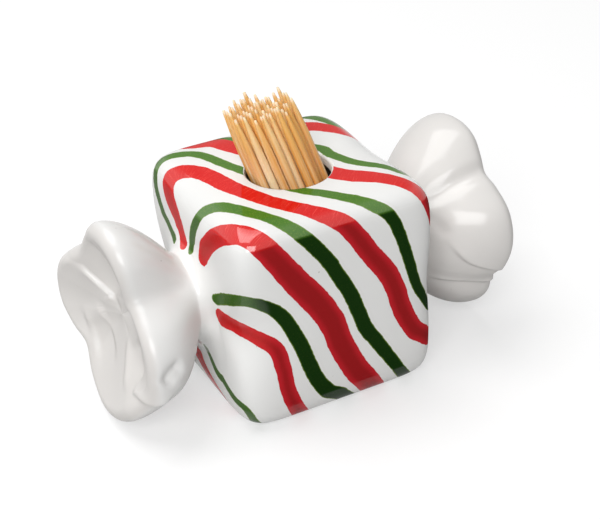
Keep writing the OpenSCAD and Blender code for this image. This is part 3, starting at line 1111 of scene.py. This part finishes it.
SEED = 7


class CANDY_OT_toothpicks(bpy.types.Operator):
    """Add the leaning bundle of toothpicks"""

    bl_idname = "candy.toothpicks"
    bl_label = "Toothpicks"

    def execute(self, context):
        pick = context.scene.candy_pick
        draws = random.Random(SEED)
        axes = {joint["child"]: Vector(joint["axis"]) for joint in frame["joints"]}
        lean = Vector((0, 0, 1)).rotation_difference(next(iter(axes.values()))).to_euler()
        wood = bamboo_material(pick, lean)
        for node in sorted(axes):
            low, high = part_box(node)
            bm = make_toothpick(pick, low, high, axes[node], draws)
            piece = finish_mesh(bm, node.replace("toothpick", "pick"))
            show(piece, wood, node, node)
        return {"FINISHED"}


# How far the picture's middle is shifted, in pixels of a picture of this width
PICTURE_WIDTH = 600
SHIFT_RIGHT = 10
SHIFT_UP = -0.3
# Place and size of each softbox, the place that both are turned to, and the table's half side
TOP_SOFTBOX = ((-0.24, 0.32, 1.0), (1.0, 0.8))
FRONT_SOFTBOX = ((-0.58, -0.8, 0.72), (0.75, 0.6))
LIGHT_AIM = Vector((0, 0, 25 * MM))
TABLE_HALF_SIDE = 2
# The table as the light meets it and as it is shown, and how much of what is shown is plain white
TABLE_GREY = (0.6, 0.6, 0.6)
TABLE_WHITE = (0.99, 0.99, 0.99)
TABLE_GLOW = 0.5


def add_camera(scene, studio):
    az, el, roll = studio.azimuth, studio.elevation, studio.roll
    back = Vector((math.sin(az) * math.cos(el), -math.cos(az) * math.cos(el), math.sin(el)))
    level = Vector((math.cos(az), math.sin(az), 0))
    over = back.cross(level)
    right = math.cos(roll) * level + math.sin(roll) * over
    up = math.cos(roll) * over - math.sin(roll) * level
    camera = bpy.data.objects.new("camera", bpy.data.cameras.new("camera"))
    scene.collection.objects.link(camera)
    camera.data.sensor_width = studio.sensor
    camera.data.lens = studio.lens
    camera.data.shift_x = SHIFT_RIGHT / PICTURE_WIDTH
    camera.data.shift_y = SHIFT_UP / PICTURE_WIDTH
    camera.data.clip_start = 10 * MM
    turn = Matrix((right, up, back)).transposed().to_4x4()
    place = Vector((0, 0, studio.middle_height)) + back * studio.distance
    camera.matrix_world = Matrix.Translation(place) @ turn
    scene.camera = camera


def add_softbox(scene, name, place_and_size, power):
    place, size = place_and_size
    light = bpy.data.lights.new(name, "AREA")
    light.shape = "RECTANGLE"
    light.size, light.size_y = size
    light.energy = power
    softbox = bpy.data.objects.new(name, light)
    scene.collection.objects.link(softbox)
    softbox.location = place
    softbox.rotation_euler = (LIGHT_AIM - Vector(place)).to_track_quat("-Z", "Y").to_euler()


def floor_material():
    """A pale matt table that the camera sees as white, apart from the shadow."""
    material, shader, principled = new_material("pale_table")
    shown = shown_rays(shader)
    shader.finish(principled, {
        "Base Color": shader.mix(shown, TABLE_GREY, TABLE_WHITE), "Roughness": 0.9,
        "Specular IOR Level": 0.0})
    white = shader.add("ShaderNodeEmission", {}, {"Color": (1, 1, 1, 1), "Strength": 1.0})
    surface = shader.add("ShaderNodeMixShader", {}, {
        0: shown * TABLE_GLOW, 1: principled.outputs[0], 2: white.outputs[0]})
    output = material.node_tree.nodes["Material Output"]
    shader.feed(output.inputs["Surface"], surface.outputs[0])
    return material


def shown_rays(shader):
    """1 for the rays that show the backdrop itself, in the picture or in a reflection."""
    path = shader.add("ShaderNodeLightPath").outputs
    seen = shader.value(path["Is Camera Ray"]) + shader.value(path["Is Glossy Ray"])
    return seen + shader.value(path["Is Transmission Ray"])


def set_world(scene, strength):
    world = bpy.data.worlds.new("studio")
    world.use_nodes = True
    scene.world = world
    shader = Shader(world.node_tree)
    background = world.node_tree.nodes["Background"]
    background.inputs["Color"].default_value = (1, 1, 1, 1)
    shader.feed(background.inputs["Strength"], shown_rays(shader) * (1 - strength) + strength)


class CANDY_OT_studio(bpy.types.Operator):
    """Add the table, the soft lights and the camera"""

    bl_idname = "candy.studio"
    bl_label = "Studio"

    def execute(self, context):
        scene = context.scene
        studio = scene.candy_studio
        bm = bmesh.new()
        bmesh.ops.create_grid(bm, x_segments=1, y_segments=1, size=TABLE_HALF_SIDE)
        table = finish_mesh(bm, "table")
        table.data.materials.append(floor_material())
        add_camera(scene, studio)
        add_softbox(scene, "top_softbox", TOP_SOFTBOX, studio.top_light)
        add_softbox(scene, "front_softbox", FRONT_SOFTBOX, studio.front_light)
        set_world(scene, studio.ambient)
        scene.view_settings.view_transform = "Standard"
        return {"FINISHED"}


class VIEW3D_PT_candy_holder(bpy.types.Panel):
    bl_label = "Candy Holder"
    bl_space_type = "VIEW_3D"
    bl_region_type = "UI"
    bl_category = "Candy Holder"

    def draw(self, context):
        for title, operator, settings in (
            ("Block", "candy.block", context.scene.candy_block),
            ("Twists", "candy.twists", context.scene.candy_twist),
            ("Toothpicks", "candy.toothpicks", context.scene.candy_pick),
            ("Stripes", None, context.scene.candy_paint),
            ("Studio", "candy.studio", context.scene.candy_studio),
        ):
            box = self.layout.box()
            box.label(text=title)
            for name in settings.__annotations__:
                box.prop(settings, name)
            if operator:
                box.operator(operator)


SETTINGS = {
    "candy_block": BlockSettings,
    "candy_twist": TwistSettings,
    "candy_pick": ToothpickSettings,
    "candy_paint": PaintSettings,
    "candy_studio": StudioSettings,
}
CLASSES = (
    *SETTINGS.values(),
    CANDY_OT_block,
    CANDY_OT_twists,
    CANDY_OT_toothpicks,
    CANDY_OT_studio,
    VIEW3D_PT_candy_holder,
)


def register():
    for cls in CLASSES:
        bpy.utils.register_class(cls)
    for name, cls in SETTINGS.items():
        setattr(bpy.types.Scene, name, PointerProperty(type=cls))


def unregister():
    for name in SETTINGS:
        delattr(bpy.types.Scene, name)
    for cls in reversed(CLASSES):
        bpy.utils.unregister_class(cls)


def main():
    register()
    bpy.ops.candy.studio()
    bpy.ops.candy.block()
    bpy.ops.candy.twists()
    bpy.ops.candy.toothpicks()


if __name__ == "__main__":
    main()
